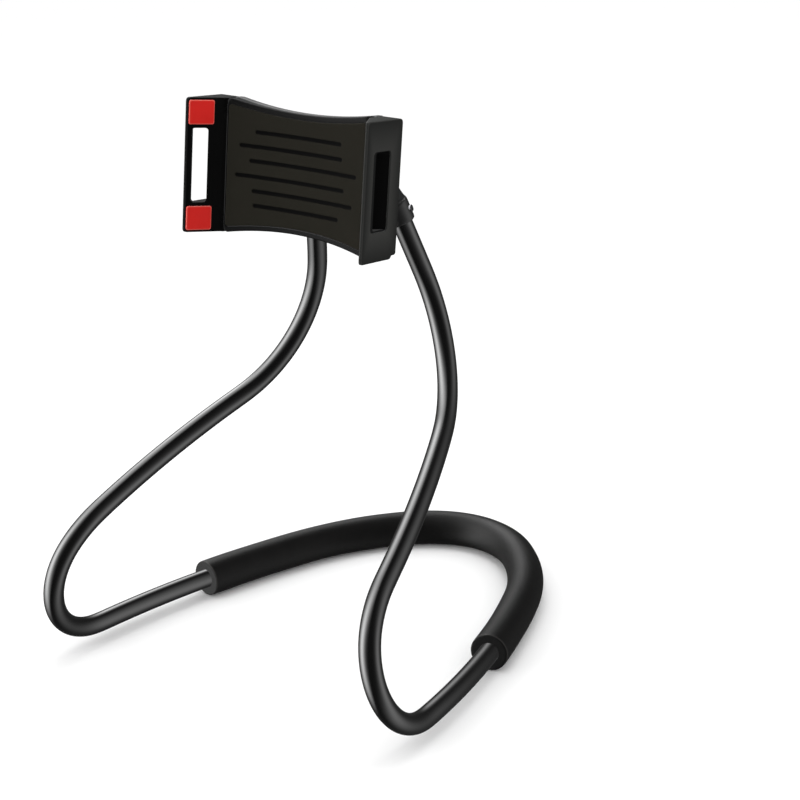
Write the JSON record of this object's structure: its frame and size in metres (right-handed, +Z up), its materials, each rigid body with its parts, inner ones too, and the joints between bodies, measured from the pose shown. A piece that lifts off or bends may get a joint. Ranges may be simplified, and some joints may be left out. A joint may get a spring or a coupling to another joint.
{
  "type": "neck phone holder",
  "caption": "Hands-free phone holder: a bent black gooseneck with a foam-padded neck loop carries a ball-jointed spring clamp with red jaw pads.",
  "frame": {"origin": "centre of the part's box on the surface it stands on", "axes": "+Z up from the resting surface, X across the wearer with +X on the sliding jaw's side, the clamp faces -Y and the neck loop's closed end lies at +Y"},
  "size_m": [0.4586, 0.5539, 0.6029],
  "materials": {
    "tube_sheath": "smooth satin-gloss black sheath",
    "foam": "closed-cell black foam, matte with a soft skin",
    "core_wire": "drawn bendable wire",
    "zinc_steel": "zinc-plated turned steel",
    "black_shell": "fine-textured moulded black plastic",
    "jaw_shell": "fine-textured moulded charcoal plastic",
    "black_screw": "black-oxide screw",
    "nylon_liner": "off-white nylon",
    "mat_rubber": "soft matte rubber",
    "red_pad": "smooth red silicone rubber",
    "spring_wire": "bright spring steel wire"
  },
  "bodies": {
    "base": {"loop_sheath": "tube_sheath", "foam_sleeve": "foam", "loop_core": "core_wire"},
    "arms": {"arm_sheath_left": "tube_sheath", "arm_sheath_right": "tube_sheath", "arm_core_left": "core_wire", "arm_core_right": "core_wire", "tube_ferrules": "zinc_steel", "yoke": "black_shell", "tube_lock_screws": "black_screw", "yoke_cap": "black_shell"},
    "ball_stud": {"ball_stud": "zinc_steel", "stud_nut": "zinc_steel"},
    "ball_seat": {"ball_seat": "nylon_liner"},
    "head": {"ball_socket": "black_shell", "socket_screws": "black_screw", "rear_cover": "black_shell", "cover_screws": "black_screw", "front_shell": "black_shell", "grip_mat": "mat_rubber", "fixed_jaw_pads": "red_pad", "tension_springs": "spring_wire"},
    "sliding_jaw": {"sliding_jaw": "jaw_shell", "sliding_jaw_pads": "red_pad", "spring_pins": "zinc_steel"},
    "lock_collar": {"lock_collar": "black_shell"}
  },
  "joints": [
    {"name": "arms_pitch", "type": "hinge", "parent": "base", "child": "arms", "pos_m": [0, -0.25918, 0.0632], "axis": [1, 0, 0], "range_deg": [-15, 15]},
    {"name": "stud_turn", "type": "hinge", "parent": "arms", "child": "ball_stud", "pos_m": [0, -0.04869, 0.52275], "axis": [0, 1, 0], "continuous": true},
    {"name": "ball_tilt", "type": "hinge", "parent": "ball_stud", "child": "ball_seat", "pos_m": [0, -0.04869, 0.52275], "axis": [1, 0, 0], "range_deg": [-20, 20]},
    {"name": "head_spin", "type": "hinge", "parent": "ball_seat", "child": "head", "pos_m": [0, -0.04869, 0.52275], "axis": [0, 0.9969, -0.0785], "continuous": true},
    {"name": "jaw_slide", "type": "slide", "parent": "head", "child": "sliding_jaw", "axis": [0.9991, -0.0033, -0.0417], "range_m": [0, 0.07], "stiffness_N_per_m": 150, "springref_m": -0.03, "deforming": ["tension_springs"]},
    {"name": "collar_turn", "type": "hinge", "parent": "head", "child": "lock_collar", "pos_m": [0, -0.04869, 0.52275], "axis": [0, 0.9969, -0.0785], "range_deg": [0, 90]}
  ]
}
